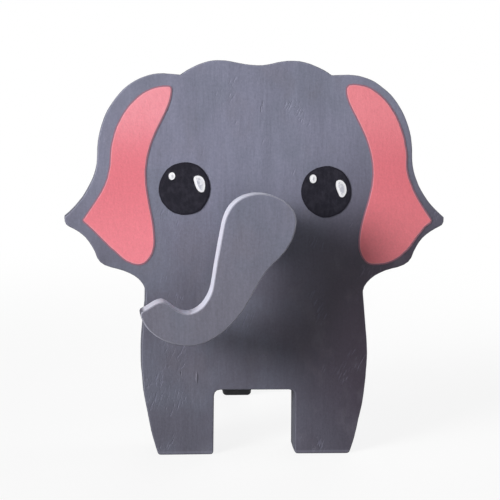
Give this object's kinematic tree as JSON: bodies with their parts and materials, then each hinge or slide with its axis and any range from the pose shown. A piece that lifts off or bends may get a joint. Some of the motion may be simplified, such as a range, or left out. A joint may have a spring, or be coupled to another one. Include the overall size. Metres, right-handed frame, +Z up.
{
  "type": "eyeglasses display stand",
  "caption": "Free-standing elephant-shaped painted wooden stand that carries one pair of eyeglasses on a nose block behind its trunk, propped by a hinged strut.",
  "frame": {"origin": "middle of the stand's bounding box, on the floor that it stands on", "axes": "+Z up, -Y out of the painted face, +X to the right of a viewer who faces the stand"},
  "size_m": [0.116, 0.0888, 0.1188],
  "materials": {
    "painted_wood": "grey brushed paint",
    "bare_wood": "bare",
    "pink_paint": "brushed paint",
    "black_paint": "brushed paint",
    "white_paint": "brushed paint",
    "steel": "plated",
    "black_wood": "black satin paint",
    "rubber": "matte"
  },
  "bodies": {
    "stand": {"body_panel": "painted_wood", "trunk": "painted_wood", "nose_block": "painted_wood", "nose_dowel_lower": "bare_wood", "nose_dowel_upper": "bare_wood", "inner_ear_left": "pink_paint", "inner_ear_right": "pink_paint", "eye_left": "black_paint", "eye_right": "black_paint", "glint_small_left": "white_paint", "glint_large_left": "white_paint", "glint_small_right": "white_paint", "glint_large_right": "white_paint", "hinge_plate": "steel", "hinge_pin": "steel", "hinge_screw_left": "steel", "hinge_screw_right": "steel"},
    "prop": {"strut": "black_wood", "strut_tip": "rubber", "strut_leaf": "steel", "strut_rivet_lower": "steel", "strut_rivet_upper": "steel"}
  },
  "joints": [
    {"name": "strut_fold", "type": "hinge", "parent": "stand", "child": "prop", "pos_m": [-0.0007, 0.00193, 0.07089], "axis": [1, 0, 0], "range_deg": [-38, 0]}
  ]
}
